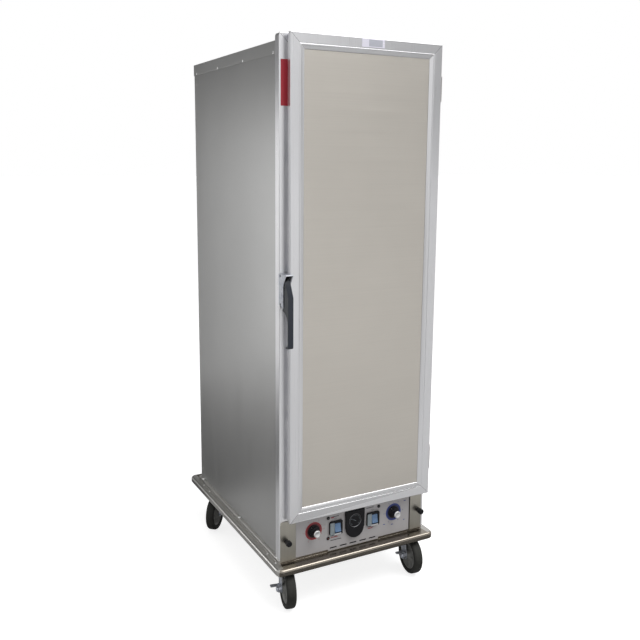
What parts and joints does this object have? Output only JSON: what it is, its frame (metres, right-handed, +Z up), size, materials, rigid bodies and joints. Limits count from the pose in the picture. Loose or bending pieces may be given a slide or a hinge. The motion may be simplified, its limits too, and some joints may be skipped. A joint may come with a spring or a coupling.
{
  "type": "proofing cabinet",
  "caption": "Tall aluminium cabinet on casters for proofing dough, with a framed hinged door, pan slides and a slide-out heat and humidity module at its base.",
  "frame": {"origin": "centre of the bounding box's base, on the floor under the wheels", "axes": "+Z up, -Y towards the door's side, +X to the viewer's right when facing the door"},
  "size_m": [0.6194, 0.862, 1.764],
  "materials": {
    "satin_aluminium": "satin mill finish",
    "bright_extrusion": "bright extruded",
    "door_panel_aluminium": "brushed across",
    "stainless_steel": "brushed",
    "dark_steel": "heat-dulled",
    "zinc_plate": "bright zinc plate",
    "bracket_steel": "bare",
    "panel_overlay": "matt overlay",
    "black_plastic": "fine grain",
    "rocker_plastic": "smooth",
    "lamp_lens": "clear red",
    "grey_rubber": "matt"
  },
  "bodies": {
    "cabinet": {"base_frame": "stainless_steel", "left_side_panel": "satin_aluminium", "right_side_panel": "satin_aluminium", "back_panel": "satin_aluminium", "roof_panel": "satin_aluminium", "left_rear_post": "satin_aluminium", "right_rear_post": "satin_aluminium", "front_frame": "bright_extrusion", "left_pan_slides": "satin_aluminium", "right_pan_slides": "satin_aluminium", "latch_strike": "stainless_steel", "lower_hinge_frame_leaf": "stainless_steel", "upper_hinge_frame_leaf": "stainless_steel", "front_left_caster_plate": "zinc_plate", "front_right_caster_plate": "zinc_plate", "rear_left_caster_plate": "zinc_plate", "rear_right_caster_plate": "zinc_plate"},
    "door": {"door_frame": "bright_extrusion", "door_panel": "door_panel_aluminium", "door_gasket": "grey_rubber", "lower_hinge_door_leaf": "stainless_steel", "upper_hinge_door_leaf": "stainless_steel", "latch_body": "bright_extrusion"},
    "latch_handle": {"latch_handle": "black_plastic"},
    "heater_module": {"module_chassis": "satin_aluminium", "control_panel": "panel_overlay", "control_box": "satin_aluminium", "left_bracket": "bracket_steel", "right_bracket": "bracket_steel", "heating_element": "dark_steel", "blower_housing": "satin_aluminium", "fan_motor": "dark_steel", "thermometer": "black_plastic", "heat_switch_bezel": "black_plastic", "humidity_switch_bezel": "black_plastic", "upper_left_lamp": "lamp_lens", "lower_left_lamp": "lamp_lens", "upper_right_lamp": "lamp_lens"},
    "water_pan": {"water_pan": "stainless_steel"},
    "fan_wheel": {"fan_wheel": "satin_aluminium"},
    "heat_dial": {"heat_dial": "black_plastic"},
    "humidity_dial": {"humidity_dial": "black_plastic"},
    "heat_rocker": {"heat_rocker": "rocker_plastic"},
    "humidity_rocker": {"humidity_rocker": "rocker_plastic"},
    "left_thumbscrew": {"left_thumbscrew": "black_plastic"},
    "right_thumbscrew": {"right_thumbscrew": "black_plastic"},
    "front_left_fork": {"front_left_fork": "zinc_plate", "front_left_axle": "zinc_plate"},
    "front_left_wheel": {"front_left_wheel": "grey_rubber"},
    "front_left_brake": {"front_left_brake_lever": "zinc_plate"},
    "front_right_fork": {"front_right_fork": "zinc_plate", "front_right_axle": "zinc_plate"},
    "front_right_wheel": {"front_right_wheel": "grey_rubber"},
    "front_right_brake": {"front_right_brake_lever": "zinc_plate"},
    "rear_left_fork": {"rear_left_fork": "zinc_plate", "rear_left_axle": "zinc_plate"},
    "rear_left_wheel": {"rear_left_wheel": "grey_rubber"},
    "rear_right_fork": {"rear_right_fork": "zinc_plate", "rear_right_axle": "zinc_plate"},
    "rear_right_wheel": {"rear_right_wheel": "grey_rubber"}
  },
  "joints": [
    {"name": "door_hinge", "type": "hinge", "parent": "cabinet", "child": "door", "pos_m": [0.282, -0.378, 0.2932], "axis": [0, 0, 1], "range_deg": [0, 180]},
    {"name": "latch_release", "type": "hinge", "parent": "door", "child": "latch_handle", "pos_m": [-0.264, -0.4, 1.0625], "axis": [-1, 0, 0], "range_deg": [0, 25], "stiffness_Nm_per_rad": 1.2, "springref_deg": -5.73},
    {"name": "module_slide", "type": "slide", "parent": "cabinet", "child": "heater_module", "axis": [0, -1, 0], "range_m": [0, 0.4]},
    {"name": "water_pan_lift", "type": "slide", "parent": "heater_module", "child": "water_pan", "axis": [0, 0, 1], "range_m": [0, 0.06]},
    {"name": "fan_spin", "type": "hinge", "parent": "heater_module", "child": "fan_wheel", "pos_m": [0.03, 0.044, 0.2215], "axis": [1, 0, 0], "continuous": true},
    {"name": "heat_dial_turn", "type": "hinge", "parent": "heater_module", "child": "heat_dial", "pos_m": [-0.152, -0.37, 0.238], "axis": [0, -1, 0], "range_deg": [0, 300]},
    {"name": "humidity_dial_turn", "type": "hinge", "parent": "heater_module", "child": "humidity_dial", "pos_m": [0.152, -0.37, 0.238], "axis": [0, -1, 0], "range_deg": [0, 300]},
    {"name": "heat_rocker_tilt", "type": "hinge", "parent": "heater_module", "child": "heat_rocker", "pos_m": [-0.0665, -0.373, 0.233], "axis": [1, 0, 0], "range_deg": [0, 20]},
    {"name": "humidity_rocker_tilt", "type": "hinge", "parent": "heater_module", "child": "humidity_rocker", "pos_m": [0.0745, -0.373, 0.233], "axis": [1, 0, 0], "range_deg": [0, 20]},
    {"name": "left_thumbscrew_turn", "type": "hinge", "parent": "heater_module", "child": "left_thumbscrew", "pos_m": [-0.25, -0.37, 0.227], "axis": [0, -1, 0], "continuous": true},
    {"name": "right_thumbscrew_turn", "type": "hinge", "parent": "heater_module", "child": "right_thumbscrew", "pos_m": [0.25, -0.37, 0.227], "axis": [0, -1, 0], "continuous": true},
    {"name": "front_left_swivel", "type": "hinge", "parent": "cabinet", "child": "front_left_fork", "pos_m": [-0.234, -0.3285, 0.1437], "axis": [0, 0, 1], "continuous": true},
    {"name": "front_left_wheel_spin", "type": "hinge", "parent": "front_left_fork", "child": "front_left_wheel", "pos_m": [-0.2419, -0.3657, 0.0635], "axis": [0.9781, -0.2079, 0], "continuous": true},
    {"name": "front_left_brake_press", "type": "hinge", "parent": "front_left_fork", "child": "front_left_brake", "pos_m": [-0.2419, -0.3657, 0.0635], "axis": [0.9781, -0.2079, 0], "range_deg": [0, 25]},
    {"name": "front_right_swivel", "type": "hinge", "parent": "cabinet", "child": "front_right_fork", "pos_m": [0.234, -0.3285, 0.1437], "axis": [0, 0, 1], "continuous": true},
    {"name": "front_right_wheel_spin", "type": "hinge", "parent": "front_right_fork", "child": "front_right_wheel", "pos_m": [0.23, -0.3663, 0.0635], "axis": [0.9945, -0.1045, 0], "continuous": true},
    {"name": "front_right_brake_press", "type": "hinge", "parent": "front_right_fork", "child": "front_right_brake", "pos_m": [0.23, -0.3663, 0.0635], "axis": [0.9945, -0.1045, 0], "range_deg": [0, 25]},
    {"name": "rear_left_swivel", "type": "hinge", "parent": "cabinet", "child": "rear_left_fork", "pos_m": [-0.234, 0.274, 0.1437], "axis": [0, 0, 1], "continuous": true},
    {"name": "rear_left_wheel_spin", "type": "hinge", "parent": "rear_left_fork", "child": "rear_left_wheel", "pos_m": [-0.2589, 0.2453, 0.0635], "axis": [0.7547, -0.6561, 0], "continuous": true},
    {"name": "rear_right_swivel", "type": "hinge", "parent": "cabinet", "child": "rear_right_fork", "pos_m": [0.234, 0.274, 0.1437], "axis": [0, 0, 1], "continuous": true},
    {"name": "rear_right_wheel_spin", "type": "hinge", "parent": "rear_right_fork", "child": "rear_right_wheel", "pos_m": [0.2589, 0.2453, 0.0635], "axis": [0.7547, 0.6561, 0], "continuous": true}
  ]
}
